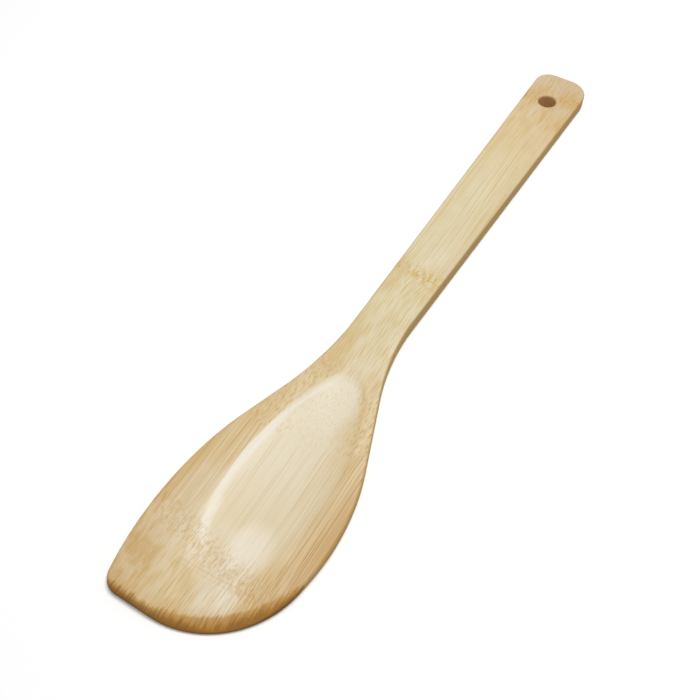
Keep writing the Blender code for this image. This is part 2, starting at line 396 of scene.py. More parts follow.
class TURNER_OT_front_bevel(Operator):
    """Grind the bevel on the front edge and round its right sweep"""

    bl_idname = "turner.front_bevel"
    bl_label = "Grind the front bevel"

    def execute(self, context):
        blank = context.scene.turner_blank
        tools = context.scene.turner_tools
        width = blank.left_corner_radius + blank.right_corner
        drop = width * math.tan(tools.bevel_angle)
        outer = tools.bevel_radius + width
        section = [(outer, CLEAR), (outer, -drop), (tools.bevel_radius, 0.0), (tools.bevel_radius, CLEAR)]
        section_face = {"vertices": len(section), "fill_type": "NGON"}
        wheel = new_primitive("grinding_wheel", bpy.ops.mesh.primitive_circle_add, **section_face)
        start = Matrix.Rotation(tools.bevel_start, 3, "Z")
        for vertex, (radius, height) in zip(wheel.data.vertices, section):
            vertex.co = start @ Vector((radius, 0.0, height))
        bpy.ops.object.mode_set(mode="EDIT")
        bpy.ops.mesh.select_all(action="SELECT")
        bpy.ops.mesh.spin(steps=WHEEL_STEPS, angle=-tools.bevel_sweep, center=(0, 0, 0), axis=(0, 0, 1))
        bpy.ops.mesh.select_all(action="SELECT")
        bpy.ops.mesh.normals_make_consistent(inside=False)
        bpy.ops.object.mode_set(mode="OBJECT")
        seat(wheel, on_blade_top(blank, tools.bevel_from_front, -tools.bevel_left))
        cut(context.scene.objects["turner_body"], wheel)
        return {"FINISHED"}


class TURNER_OT_hole(Operator):
    """Bore the hanging hole and ease both of its mouths"""

    bl_idname = "turner.hole"
    bl_label = "Bore the hanging hole"

    def execute(self, context):
        blank = context.scene.turner_blank
        tools = context.scene.turner_tools
        radius = tools.hole_diameter / 2
        middle = Vector((-tools.hole_left, END - tools.hole_from_end, blank.thickness / 2))
        drill = new_primitive(
            "drill",
            bpy.ops.mesh.primitive_cylinder_add,
            vertices=DRILL_SIDES,
            radius=radius,
            depth=blank.thickness + 2 * CLEAR,
            location=middle,
        )
        flare = (radius + tools.hole_ease + CLEAR) / radius
        bpy.ops.object.mode_set(mode="EDIT")
        for height in (tools.hole_ease, blank.thickness - tools.hole_ease):
            bpy.ops.mesh.select_all(action="SELECT")
            bpy.ops.mesh.bisect(plane_co=(0.0, 0.0, height), plane_no=(0.0, 0.0, 1.0))
        for side in (-1.0, 1.0):
            bpy.ops.mesh.select_all(action="DESELECT")
            shape = bmesh.from_edit_mesh(drill.data)
            for face in shape.faces:
                if face.normal.z * side > END_FACE:
                    face.select_set(True)
            bmesh.update_edit_mesh(drill.data)
            bpy.ops.transform.resize(value=(flare, flare, 1.0), center_override=middle)
        bpy.ops.object.mode_set(mode="OBJECT")
        cut(context.scene.objects["turner_body"], drill)
        return {"FINISHED"}


class TURNER_OT_sand(Operator):
    """Remesh the turner finely, sand its edges soft and stand it in for its plain solid"""

    bl_idname = "turner.sand"
    bl_label = "Sand the turner"

    def execute(self, context):
        tools = context.scene.turner_tools
        piece = context.scene.objects["turner_body"]
        apply_modifier(piece, "REMESH", mode="VOXEL", voxel_size=tools.grit)
        apply_modifier(piece, "SMOOTH", factor=SANDING_SHARE, iterations=tools.sanding)
        piece.data.calc_loop_triangles()
        share = min(1.0, tools.triangles / len(piece.data.loop_triangles))
        apply_modifier(piece, "DECIMATE", ratio=share)
        select_only(piece)
        bpy.ops.object.shade_smooth()
        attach(piece, BODY)
        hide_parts(NODE)
        return {"FINISHED"}


def feed(tree, value, entry):
    """Link a socket or a Number to an input, or set the input to a plain value."""
    source = value.socket if isinstance(value, Number) else value
    if isinstance(source, bpy.types.NodeSocket):
        tree.links.new(source, entry)
    else:
        entry.default_value = source


def add_node(tree, kind, inputs=(), **settings):
    """Shader node with its settings, and its inputs linked or set."""
    node = tree.nodes.new(kind)
    for name, value in settings.items():
        setattr(node, name, value)
    for name, value in dict(inputs).items():
        feed(tree, value, node.inputs[name])
    return node


class Number:
    """Number in a node tree, which takes plain arithmetic."""

    def __init__(self, tree, socket):
        self.tree = tree
        self.socket = socket

    def math(self, operation, *inputs):
        node = add_node(self.tree, "ShaderNodeMath", enumerate(inputs), operation=operation)
        return Number(self.tree, node.outputs[0])

    def __add__(self, other):
        return self.math("ADD", self, other)

    def __sub__(self, other):
        return self.math("SUBTRACT", self, other)

    def __rsub__(self, other):
        return self.math("SUBTRACT", other, self)

    def __mul__(self, other):
        return self.math("MULTIPLY", self, other)

    def __truediv__(self, other):
        return self.math("DIVIDE", self, other)

    def __abs__(self):
        return self.math("ABSOLUTE", self)

    __radd__ = __add__
    __rmul__ = __mul__

    def step(self, low, high):
        """Smooth step from 0 at low to 1 at high."""
        inputs = {"Value": self, "From Min": low, "From Max": high}
        node = add_node(self.tree, "ShaderNodeMapRange", inputs, interpolation_type="SMOOTHSTEP")
        return Number(self.tree, node.outputs["Result"])


def most(first, *others):
    """Largest of some numbers, the first of which is a Number."""
    for other in others:
        first = first.math("MAXIMUM", first, other)
    return first


def least(first, other):
    """Smaller of a Number and another number."""
    return first.math("MINIMUM", first, other)


def blend(share, first, second):
    """Number that runs from the first to the second as the share runs from 0 to 1."""
    return (second - first) * share + first


# Noises: waves per millimetre across, along and deep, their detail, and for some the heights
# between which their high parts run from nothing to full
NOISES = {
    "wander": ((0.03, 0.01, 0.05), 0.0),
    "swirl": ((0.25, 0.18, 0.3), 1.0),
    "long threads": ((2.2, 0.025, 0.8), 1.0),
    "short threads": ((2.2, 0.10, 0.8), 1.0),
    "thread groups": ((0.45, 0.012, 0.4), 1.0, 0.35, 0.65),
    "thread runs": ((1.0, 1.0, 1.0), 1.0, 0.38, 0.60),
    "broad bands": ((0.16, 0.006, 0.2), 2.0, 0.35, 0.65),
    "warm patches": ((0.16, 0.09, 0.2), 3.0, 0.35, 0.75),
    "handle mottle": ((1.15, 0.27, 0.6), 2.0, 0.42, 0.62),
    "blade mottle": ((1.2, 0.35, 0.6), 2.0, 0.47, 0.64),
    "cloud": ((0.30, 0.16, 0.3), 2.0, 0.45, 0.62),
    "fleck crowd": ((0.35, 0.25, 0.3), 1.0),
    "ragged scar": ((0.4, 0.2, 0.2), 1.0),
    "bevel grain": ((1.8, 0.05, 0.35), 2.0),
}

# Marks: cells per millimetre across, along and deep, and the distances from a cell's middle where
# its mark ends and where it is full
MARKS = {
    "long lines": ((1.1, 0.03, 0.4), 0.34, 0.08),
    "flank lines": ((1.3, 0.02, 0.4), 0.42, 0.14),
    "short lines": ((1.9, 0.085, 0.5), 0.46, 0.12),
    "dots": ((1.3, 0.40, 0.3), 0.38, 0.10),
    "dashes": ((1.3, 0.30, 0.3), 0.46, 0.12),
    "blade flecks": ((1.1, 0.40, 0.6), 0.36, 0.02),
    "handle flecks": ((0.46, 0.36, 0.25), 0.20, 0.07),
    "pores": ((1.2, 0.9, 0.8), 0.24, 0.08),
}

# Strength of the weakest mark, and how far apart in the noise the threads' own runs lie
WEAKEST_MARK = 0.25
RUNS_APART = 7.3

# Heights of the thread noises between which a thread runs from nothing to full
THREAD_EDGE = (0.47, 0.60)

# How far the fibres wander slowly, and swirl at the culm nodes, in millimetres across, along and deep,
# each way from the middle of a noise
MIDDLE_OF_NOISE = (0.5, 0.5, 0.5)
WANDER = (3.0, 0.0, 2.0)
SWIRL = (1.2, 2.0, 1.0)

# Lean of the neck's fibres: shift across for each millimetre along, at the origin, and at the least
NECK_SLANT = 0.07
NECK_SHIFT = 2.5
NECK_LEAST_SHIFT = -0.6

# Places in millimetres between which a zone runs from nothing to full, across the turner
ACROSS = {
    "right flank": (6.0, 20.0),
    "left flank": (-8.0, -16.0),
    "far right": (12.0, 28.0),
    "far left": (-10.0, -20.0),
    "dish middle": (14.0, 4.0),
    "front right": (6.0, 18.0),
    "warm end": (-24.0, 14.0),
    "lip": (-8.0, 2.0),
    "bevel right": (4.0, 14.0),
    "wider bevel": (14.0, 26.0),
    "pores": (6.0, 16.0),
}

# The same along the turner
ALONG = {
    "blade": (-10.0, -60.0),
    "front": (-110.0, -124.0),
    "front right": (-85.0, -108.0),
    "shoulders": (-20.0, -70.0),
    "dish head": (-80.0, -62.0),
    "lip": (-72.0, -92.0),
    "bevel": (-111.0, -119.0),
    "dark rim": (-112.0, -130.0),
    "upper handle": (50.0, 120.0),
    "warm end": (60.0, 138.0),
    "golden end": (70.0, 130.0),
    "short lines": (85.0, 120.0),
    "rich lines": (90.0, 140.0),
    "shaded end": (105.0, 148.0),
}

# Culm nodes and the bands beside them: middle and half width in millimetres, and slant
RINGS = {
    "blade": (-124.0, 9.0, -0.21),
    "handle": (7.5, 7.0, -0.15),
    "hole": (133.0, 9.0, 0.2),
    "short lines": (1.0, 9.0, -0.15),
    "blotches": (1.5, 9.0, -0.15),
}

# Ovals: x, y, half width and half length in millimetres, and the squared distances, in these half
# sizes, where the oval ends and where it is full
OVALS = {
    "neck": (0.0, -35.0, 60.0, 40.0, 1.3, 0.5),
    "dish head": (3.0, -56.0, 11.0, 22.0, 1.6, 0.3),
    "white head": (6.0, -56.0, 9.0, 16.0, 1.3, 0.3),
    "left shoulder": (-12.0, -60.0, 14.0, 20.0, 1.3, 0.6),
    "right shoulder": (16.0, -62.0, 9.0, 13.0, 1.3, 0.6),
    # The lip ovals bound a painted highlight round the dish's right and lower edge
    "lip": (-4.0, -90.0, 23.0, 34.0, 1.5, 1.0),
    "inside the lip": (-4.0, -90.0, 23.0, 34.0, 1.0, 0.55),
    "front left": (-24.0, -142.0, 13.0, 20.0, 1.3, 0.3),
    "cloud": (-17.0, -132.0, 16.0, 19.0, 1.3, 0.3),
}

# Where a soft patch ends and where it is full, as for the ovals
SOFT = (1.4, 0.1)

# Soft patches of the ground tissue by colour, in millimetres: x, y, half width, half length, strength. The
# crest patches and some of the blade's cream patches are painted highlights.
PATCHES = {
    "cream": (
        (-16, -115, 9, 18, 0.6), (-3, -122, 9, 10, 0.7), (9, -128, 9, 16, 1.0),
        (-13, -56, 7, 14, 0.15), (4, -42, 5, 9, 0.4), (2, 18, 4, 9, 0.6),
        (19, -68, 3, 12, 0.15), (9, -137, 6, 6, 0.3), (16, -105, 6, 9, 0.45),
        (10, -25, 3, 7, 0.4), (7, 100, 5, 14, 0.4), (3, 106, 3, 11, 0.6),
        (-3, 120, 3, 7, 0.5), (-8, 117, 3, 5, 0.3), (7, 125, 4, 6, 0.6),
        (1, 140, 3, 5, 0.6), (-9, 144, 4, 6, 0.6), (6, 147, 4, 5, 0.5),
    ),
    "amber": (
        (-24, -142, 13, 20, 0.55), (35, -105, 12, 48, 0.75), (-9, -147, 16, 6, 0.25),
        (23, -122, 6, 9, 0.35), (10, 40, 4, 50, 0.3),
    ),
    "fibre": (
        (-27, -103, 5, 26, 0.5), (-15, -70, 6, 14, 0.2), (-8, -36, 6, 17, 0.35),
        (14, -66, 6, 7, 0.12), (-9, 2, 5, 12, 0.25), (-20, -113, 5, 10, 0.2),
        (-6, 137, 3, 4, 0.3), (8, 135, 4, 6, 0.35), (-10, 130, 2, 4, 0.3),
        (2, 119, 1, 8, 0.4),
    ),
    "crest": (
        (9, -117, 8, 10, 0.6), (13, -133, 4, 7, 0.4), (-9, -112, 2, 6, 0.5),
        (-7, -119, 1, 5, 0.4),
    ),
}

# Parts of the dish: where each ends and where it is full, along the dish from -1 at its foot to 1 at
# its head, across it from -1 at its left, or as a squared distance from its middle
DISH_FAR = {
    "foot": (-1.0, -0.6),
    "low": (0.0, -0.7),
    "straw floor": (0.1, -0.8),
    "below head": (0.55, 0.15),
}
DISH_WIDE = {"right wall": (0.30, 0.85), "left wall": (-0.15, -0.45), "brow": (-0.5, -0.9)}
DISH_OUT = {"hollow": (1.08, 0.80), "rim": (1.5, 1.0)}

# Squared distances of the left wall's inner and outer border at the head, the middle and the foot,
# and how softly it starts and ends
WALL_INNER = (0.68, 0.60, 0.70)
WALL_OUTER = (0.98, 0.91, 0.91)
WALL_START = 0.20
WALL_END = 0.15

# Added to the dish's squared distance on the underside, which no dish reaches
OFF_THE_TOP = 9.0

# Upright part of the normal where the underside, the sawn sides and the steepest wall start and are full
UNDERSIDE = (0.1, -0.3)
SIDES = (0.75, 0.35)
STEEP = (0.98, 0.84)

# Millimetres outwards from the bevel's border where each of its tones starts and is full
BEVEL = {
    "amber": (-3.0, -0.3),
    "golden": (-0.4, 0.9),
    "bevel": (0.0, 1.2),
    "caramel": (0.9, 3.4),
    "pores": (1.0, 2.0),
    # Umber here is painted shade towards the front rim
    "umber": (2.4, 5.0),
}

# The bevel's border in millimetres: its early start in the middle and how far that reaches, the
# front rim's breadth, the grain's raggedness, and the depth away from the bevel
EARLY_BEVEL = 1.2
EARLY_REACH = 13.0
FRONT_RIM = 3.2
RAGGED = 4.4
OFF_THE_BEVEL = -6.0

# Breadth of the painted shade along the bevel's outer rim on the left and on the right, and where it is
# full, in millimetres
DARK_RIM = (3.6, 1.7)
DARK_RIM_FULL = 0.3

# Heights of the grain's noise between which a dark streak of the bevel runs from nothing to full
DARK_GRAIN = (0.48, 0.62)

# Share of a culm node's crowd of flecks where it starts and where it is full
FLECK_EDGE = (0.25, 0.60)

# Sheath scar in millimetres: its middle, slant, ends, their fading, how ragged it is, the half
# widths of its two lines and the step between them
SCAR_MIDDLE = -129.5
SCAR_SLANT = 0.08
SCAR_LEFT = -12.0
SCAR_RIGHT = 24.0
SCAR_FADE = 8.0
SCAR_RAGGED = 0.8
SCAR_UPPER = 0.28
SCAR_LOWER = 0.25
SCAR_STEP = 1.6

# Millimetres that the bore's tone runs past its wall
BORE_MARGIN = 0.5

# Strengths that differ on the handle and on the blade
HANDLE_AND_BLADE = {
    "threads": (0.18, 0.35),
    "bands": (0.25, 0.45),
    "least shade": (0.5, 0.45),
    "blotches": (0.9, 0.5),
    "flecks": (0.8, 0.55),
}

# Strengths of marks and tones, below 0 where they take away from others
STRENGTH = {
    "hole node": 0.7,
    "short lines": 0.8,
    "front flank lines": 0.6,
    "dots": 0.7,
    "flank threads": 0.1,
    "dish threads": -0.25,
    "grouping": 0.6,
    "front right": 0.5,
    "rich lines": 1.6,
    "dish floor": 0.65,
    "white head": 0.2,
    "right wall": 0.7,
    "lip": 0.8,
    "warm patches": 0.3,
    "warm end": 0.75,
    "amber": 0.65,
    "shaded end": 0.6,
    "shine": 0.92,
    "low shine": 0.6,
    "head shine": 0.35,
    "steep": 0.9,
    "brow": 0.25,
    "flank in dish": 0.75,
    "low in dish": 0.45,
    "faint": -0.45,
    "wall": -0.85,
    "hollow": -0.7,
    "far left": 0.3,
    "far right": 0.8,
    "front left": 0.8,
    "blotches": 0.5,
    "cloud": 0.25,
    "crowd": 0.4,
    "lower scar": 0.6,
    "scar": 0.3,
    "side": 0.95,
    "side shade by height": -0.03,
    "wider bevel": 0.7,
    "bevel amber": 0.3,
    "dark rim": 0.85,
    "umber": 0.5,
    "dark grain": 0.5,
    "right dark grain": 0.25,
    "pores": 0.6,
    "rough lines": 0.12,
}

# Depth of the fibre lines in the surface, and how strongly they catch the light
LINE_DEPTH = 0.03 * MM
LINE_RELIEF = 0.3


class BambooNodes:
    """Textures and colours of the bamboo in one node tree."""

    def __init__(self, tree, finish):
        self.tree = tree
        self.finish = finish

    def vector(self, operation, first, second):
        inputs = {0: first, 1: second}
        return add_node(self.tree, "ShaderNodeVectorMath", inputs, operation=operation).outputs[0]

    def scaled(self, vector, amount):
        inputs = {0: vector, "Scale": amount}
        return add_node(self.tree, "ShaderNodeVectorMath", inputs, operation="SCALE").outputs[0]

    def parts(self, vector):
        """Three Numbers of a vector."""
        outputs = add_node(self.tree, "ShaderNodeSeparateXYZ", {0: vector}).outputs
        return [Number(self.tree, part) for part in outputs]

    def joined(self, across, along=0.0):
        """Vector on a plane from its two numbers."""
        return add_node(self.tree, "ShaderNodeCombineXYZ", {0: across, 1: along}).outputs[0]

    def measured(self, operation, vector, other=(0.0, 0.0, 0.0)):
        """Number that a vector operation gives."""
        node = add_node(self.tree, "ShaderNodeVectorMath", {0: vector, 1: other}, operation=operation)
        return Number(self.tree, node.outputs["Value"])

    def noise(self, name, where):
        """Outputs of a named noise."""
        per_mm, detail = NOISES[name][:2]
        inputs = {"Vector": self.vector("MULTIPLY", where, per_mm), "Scale": 1.0, "Detail": detail}
        return add_node(self.tree, "ShaderNodeTexNoise", inputs).outputs

    def waves(self, name, where):
        """Height of a named noise."""
        return Number(self.tree, self.noise(name, where)["Fac"])

    def bands(self, name, where):
        """Share of the high parts of a named noise."""
        low, high = NOISES[name][2:]
        return self.waves(name, where).step(low, high)

    def drift(self, name, where, reach):
        """Vector that drifts up to half the reach each way, by a named noise."""
        off = self.vector("SUBTRACT", self.noise(name, where)["Color"], MIDDLE_OF_NOISE)
        return self.vector("MULTIPLY", off, reach)

    def cells(self, dimensions, place, thick, thin):
        """Outputs of a texture of cells, and the share of one mark in each, of its own strength."""
        inputs = {**place, "Scale": 1.0}
        cell = add_node(self.tree, "ShaderNodeTexVoronoi", inputs, voronoi_dimensions=dimensions).outputs
        strength = self.parts(cell["Color"])[0] * (1.0 - WEAKEST_MARK) + WEAKEST_MARK
        return cell, Number(self.tree, cell["Distance"]).step(thick, thin) * strength

    def marks(self, name, where):
        """Share of named dashes or dots, one in each cell across and along the fibres."""
        (across, along, deep), thick, thin = MARKS[name]
        over = self.measured("DOT_PRODUCT", where, (across, 0.0, deep))
        up = self.measured("DOT_PRODUCT", where, (0.0, along, 0.0))
        return self.cells("2D", {"Vector": self.joined(over, up)}, thick, thin)[1]

    def threads(self, name, where):
        """Share of named threads side by side, each of which comes and goes by itself."""
        (across, along, deep), thick, thin = MARKS[name]
        over = self.measured("DOT_PRODUCT", where, (across, 0.0, deep))
        up = self.measured("DOT_PRODUCT", where, (0.0, along, 0.0))
        cell, thread = self.cells("1D", {"W": over}, thick, thin)
        own = self.joined(Number(self.tree, cell["W"]) * RUNS_APART, up)
        return thread * self.bands("thread runs", own)

    def tint(self, name):
        """Colour of the finish."""
        return (*getattr(self.finish, name), 1.0)

    def mix(self, share, first, second):
        """Colour between two colours or colour sockets."""
        node = add_node(self.tree, "ShaderNodeMix", data_type="RGBA")
        entries = {entry.identifier: entry for entry in node.inputs}
        for name, value in (("Factor_Float", share), ("A_Color", first), ("B_Color", second)):
            feed(self.tree, value, entries[name])
        return next(entry for entry in node.outputs if entry.identifier == "Result_Color")

    def lay(self, under, *coats):
        """Colours of the finish laid over another colour, each by its own share."""
        for name, share in coats:
            under = self.mix(share, under, self.tint(name))
        return under


class BambooField(BambooNodes):
    """Where a point lies on the turner, in millimetres, and its share of each zone."""

    def __init__(self, tree, finish, blank, tools):
        super().__init__(tree, finish)
        self.tools = tools
        self.sweep = sweep_middle(blank) / MM
        coordinates = add_node(tree, "ShaderNodeTexCoord").outputs
        self.spot = self.scaled(coordinates["Object"], 1.0 / MM)
        self.x, self.y, self.z = self.parts(self.spot)
        facing = self.parts(coordinates["Normal"])[2]
        self.upright = abs(facing)
        self.under = facing.step(*UNDERSIDE)
        self.top = 1.0 - self.under
        self.blade = self.along("blade")
        self.front = self.along("front")
        self.neck = self.oval("neck")
        self.flank = most(self.across("right flank"), self.across("left flank")) * self.blade
        self.node = most(self.ring("blade"), self.ring("handle"), self.ring("hole") * STRENGTH["hole node"])
        self.bend_fibres()
        self.map_dish()
        # Painted highlight: a pale band round the dish's right and lower edge, laid with the cream patches
        lip = (self.oval("lip") - self.oval("inside the lip")) * self.across("lip") * self.along("lip")
        self.pale = most(self.patches("cream"), lip * self.top * STRENGTH["lip"])

    def across(self, name):
        """Share of a named zone across the turner."""
        return self.x.step(*ACROSS[name])

    def along(self, name):
        """Share of a named zone along the turner."""
        return self.y.step(*ALONG[name])

    def by_place(self, name):
        """Strength that differs on the handle and on the blade."""
        return blend(self.blade, *HANDLE_AND_BLADE[name])

    def ring(self, name):
        """Share of a named band, which crosses the turner on a slight slant."""
        middle, half_width, slant = RINGS[name]
        return abs(self.y - (self.x * slant + middle)).step(half_width, 0.0)

    def soft_oval(self, x, y, half_width, half_length, low, high):
        """Share of an oval that is full from the high squared distance inwards."""
        across = (self.x - x) / half_width
        along = (self.y - y) / half_length
        return (across * across + along * along).step(low, high)

    def oval(self, name):
        """Share of a named oval."""
        return self.soft_oval(*OVALS[name])

    def patches(self, name):
        """Share of the strongest of a colour's soft patches."""
        shares = [self.soft_oval(*oval, *SOFT) * strength for *oval, strength in PATCHES[name]]
        return most(*shares) * self.top

    def bend_fibres(self):
        """Fibres wander slowly along the strip, lean in the neck and swirl a little at the nodes."""
        self.swirl = self.drift("swirl", self.spot, SWIRL)
        bent = self.vector("ADD", self.spot, self.drift("wander", self.spot, WANDER))
        bent = self.vector("ADD", bent, self.scaled(self.swirl, self.node))
        lean = self.neck * most(self.y * NECK_SLANT + NECK_SHIFT, NECK_LEAST_SHIFT)
        self.bent = self.vector("ADD", bent, self.joined(lean))

    def map_dish(self):
        """Places across and along the dish in half sizes, and the shares of its parts."""
        tools = self.tools
        to_left, half_width = dish_reach(tools, tools.dish_width, tools.dish_lean)
        to_head, half_length = dish_reach(tools, tools.dish_length, tools.dish_pitch)
        across = self.x - (tools.dish_right - to_left) / MM
        along = self.y - (FRONT + tools.dish_from_front + to_head) / MM
        self.far = along / (half_length / MM)
        tapered = (self.far * -tools.dish_taper + 1.0) * (half_width / MM)
        self.wide = (along * math.tan(tools.dish_turn) + across) / tapered
        self.out = self.wide * self.wide + self.far * self.far + self.under * OFF_THE_TOP
        self.foot = self.far.step(*DISH_FAR["foot"])
        self.low = self.far.step(*DISH_FAR["low"])
        self.rim = self.out.step(*DISH_OUT["rim"])
        self.hollow = self.out.step(*DISH_OUT["hollow"]) * self.foot
        self.right_wall = self.wide.step(*DISH_WIDE["right wall"]) * self.rim
        inner = self.down_the_dish(*WALL_INNER)
        outer = self.down_the_dish(*WALL_OUTER)
        wall = self.out.step(inner, inner + WALL_START) * self.out.step(outer + WALL_END, outer)
        self.left_wall = wall * self.wide.step(*DISH_WIDE["left wall"]) * self.foot

    def down_the_dish(self, at_head, at_middle, at_foot):
        """Number that changes from the dish's head to its foot."""
        upper = blend(self.far.step(*DISH_FAR["below head"]), at_head, at_middle)
        return blend(self.low, upper, at_foot)

    def from_place(self, x, y):
        """Distance, seen from above, from a place given in metres."""
        plan = self.vector("MULTIPLY", self.spot, (1.0, 1.0, 0.0))
        return self.measured("LENGTH", self.vector("SUBTRACT", plan, (x / MM, y / MM, 0.0)))

    def bevel_depth(self, grain):
        """Distance outwards from the bevel's border, or towards the front rim, ragged by the grain."""
        tools = self.tools
        reach = self.from_place(-tools.bevel_left, FRONT + tools.bevel_from_front)
        early = abs(self.x).step(EARLY_REACH, 0.0) * EARLY_BEVEL
        out = early + reach - tools.bevel_radius / MM
        out = out * (self.across("wider bevel") * STRENGTH["wider bevel"] + 1.0)
        depth = most(out, FRONT / MM + FRONT_RIM - self.y) + (grain * RAGGED - RAGGED / 2)
        return blend(self.along("bevel") * self.top, OFF_THE_BEVEL, depth)

    def inset(self):
        """Distance inwards from the outline, along the front and round its right sweep."""
        past = most(self.x - self.sweep.x, 0.0)
        below = least(self.y - self.sweep.y, 0.0)
        return self.sweep.y - FRONT / MM - self.measured("LENGTH", self.joined(past, below))

    def scar(self):
        """Share of the thin double line that a culm sheath leaves beside its node."""
        ragged = self.waves("ragged scar", self.spot) * SCAR_RAGGED
        off = ragged + self.y - (self.x * SCAR_SLANT + SCAR_MIDDLE)
        lower = abs(off + SCAR_STEP).step(SCAR_LOWER, 0.0) * STRENGTH["lower scar"]
        lines = most(abs(off).step(SCAR_UPPER, 0.0), lower)
        left_end = self.x.step(SCAR_LEFT, SCAR_LEFT + SCAR_FADE)
        right_end = self.x.step(SCAR_RIGHT, SCAR_RIGHT - SCAR_FADE)
        return lines * left_end * right_end * self.top

    def bore(self):
        """Share of the hanging hole's wall."""
        radius = self.tools.hole_diameter / 2 / MM
        reach = self.from_place(-self.tools.hole_left, END - self.tools.hole_from_end)
        return reach.step(radius + BORE_MARGIN, radius)


def fine_threads(field, short):
    """Share of the faint threads between the fibre bundles, which gather in groups."""
    long_threads = field.waves("long threads", field.bent)
    streaks = blend(short, long_threads, field.waves("short threads", field.bent))
    strength = field.flank * STRENGTH["flank threads"] + field.by_place("threads")
    strength = field.hollow * field.across("dish middle") * STRENGTH["dish threads"] + strength
    groups = field.bands("thread groups", field.bent) * STRENGTH["grouping"] + (1.0 - STRENGTH["grouping"])
    return streaks.step(*THREAD_EDGE) * strength * groups


def fibre_lines(field):
    """Share of the fibres, which show as lines, dashes or dots as the surface cuts them."""
    short_end = field.along("short lines") * STRENGTH["short lines"]
    short = most(field.neck, field.front, field.node, field.ring("short lines"), short_end)
    lines = blend(short, field.threads("long lines", field.bent), field.marks("short lines", field.bent))
    flank = field.flank * blend(field.front, 1.0, STRENGTH["front flank lines"])
    lines = most(lines, field.threads("flank lines", field.bent) * flank)
    shoulders = most(field.oval("left shoulder"), field.oval("right shoulder"))
    lines = blend(shoulders, lines, field.marks("dashes", field.bent))
    dots = field.marks("dots", field.bent) * STRENGTH["dots"]
    lines = blend(field.oval("dish head") * field.hollow, lines, dots)
    lines = most(lines, fine_threads(field, short))
    front_right = field.across("front right") * field.along("front right") * STRENGTH["front right"]
    rich = most(field.along("rich lines"), front_right)
    return least(lines * blend(rich, 1.0, STRENGTH["rich lines"]), 1.0)


def dish_floor(field):
    """Colour of the sparser tissue that the dish is cut into."""
    straw = field.far.step(*DISH_FAR["straw floor"]) * STRENGTH["dish floor"]
    white = field.oval("white head") * STRENGTH["white head"]
    return field.lay(field.tint("cream"), ("straw", straw), ("crest", white))


def ground_tissue(field):
    """Colour between the fibres, with broad bands and warm patches, painted highlights on the dish's left
    wall, round its lower edge and in some patches, and painted shade at the handle's end.
    """
    bands = field.bands("broad bands", field.bent) * field.by_place("bands")
    ground = field.lay(
        field.tint("cream"),
        ("blond", bands + field.by_place("least shade")),
        ("straw", most(field.along("shoulders"), field.along("upper handle"))),
    )
    ground = field.mix(field.hollow, ground, dish_floor(field))
    warm_end = field.along("warm end") * field.across("warm end") * STRENGTH["warm end"]
    warm = field.bands("warm patches", field.spot) * STRENGTH["warm patches"] + warm_end
    dry = 1.0 - field.hollow * (1.0 - field.right_wall)
    # Painted highlight on the dish's left wall, weaker low in the dish and at its head
    shine = blend(field.low, STRENGTH["shine"], STRENGTH["low shine"])
    shine = shine * blend(field.along("dish head"), 1.0, STRENGTH["head shine"])
    # Painted highlight on the wall's steepest edge, which its own shading would darken
    steep = field.left_wall * field.upright.step(*STEEP)
    brow = field.rim * field.wide.step(*DISH_WIDE["brow"]) * field.foot
    return field.lay(
        ground,
        ("straw", field.right_wall * STRENGTH["right wall"]),
        # Pale patches, some of them painted highlights, and the painted highlight round the dish's right
        # and lower edge
        ("cream", field.pale),
        ("amber", warm * dry * STRENGTH["amber"]),
        # Painted shade at the handle's end
        ("end_shade", field.along("shaded end") * STRENGTH["shaded end"]),
        ("amber", field.patches("amber")),
        ("fibre", field.patches("fibre")),
        # Painted highlights: the crest patches, the dish's left wall and the steepest edge of that wall
        ("crest", field.patches("crest")),
        ("crest", field.left_wall * shine),
        ("glint", steep * STRENGTH["steep"]),
        ("cream", brow * STRENGTH["brow"]),
    )


def fibre_colour(field):
    """Colour of the fibres: honey on the handle, browner on the blade and its flanks."""
    browner = field.blade * (field.hollow * STRENGTH["hollow"] + 1.0)
    far_left = field.across("far left") * STRENGTH["far left"]
    far_right = field.across("far right") * STRENGTH["far right"]
    return field.lay(
        field.tint("honey"),
        ("fibre", most(browner, field.along("golden end"))),
        ("pin", field.flank * (far_left + far_right)),
    )


def line_strength(field):
    """Strength of the fibre lines, fainter where the tissue is sparse or pale, under painted highlights and
    on the dish's left wall with its painted highlight.
    """
    in_dish = field.low * STRENGTH["low in dish"] + blend(field.flank, 1.0, STRENGTH["flank in dish"])
    faint = most(field.hollow * in_dish, field.pale) * STRENGTH["faint"] + 1.0
    return most(field.left_wall * STRENGTH["wall"] + faint, 0.0)


def culm_nodes(field, wood, fibre):
    """Wood with the blotches, pale cloud, dark flecks and sheath scar of its culm nodes."""
    mottle = field.bands("handle mottle", field.spot)
    mottle = blend(field.blade, mottle, field.bands("blade mottle", field.spot))
    front_left = field.oval("front left") * STRENGTH["front left"]
    around = most(field.node, front_left, field.ring("blotches") * STRENGTH["blotches"])
    wood = field.mix(mottle * around * field.by_place("blotches"), wood, fibre)
    cloud = field.bands("cloud", field.spot) * field.oval("cloud")
    swirled = field.vector("ADD", field.spot, field.swirl)
    flecks = blend(field.blade, field.marks("handle flecks", swirled), field.marks("blade flecks", swirled))
    crowd = field.node * (field.waves("fleck crowd", field.spot) + STRENGTH["crowd"])
    return field.lay(
        wood,
        ("cream", cloud * STRENGTH["cloud"]),
        ("pin", flecks * crowd.step(*FLECK_EDGE) * field.by_place("flecks")),
        ("pin", field.scar() * STRENGTH["scar"]),
    )


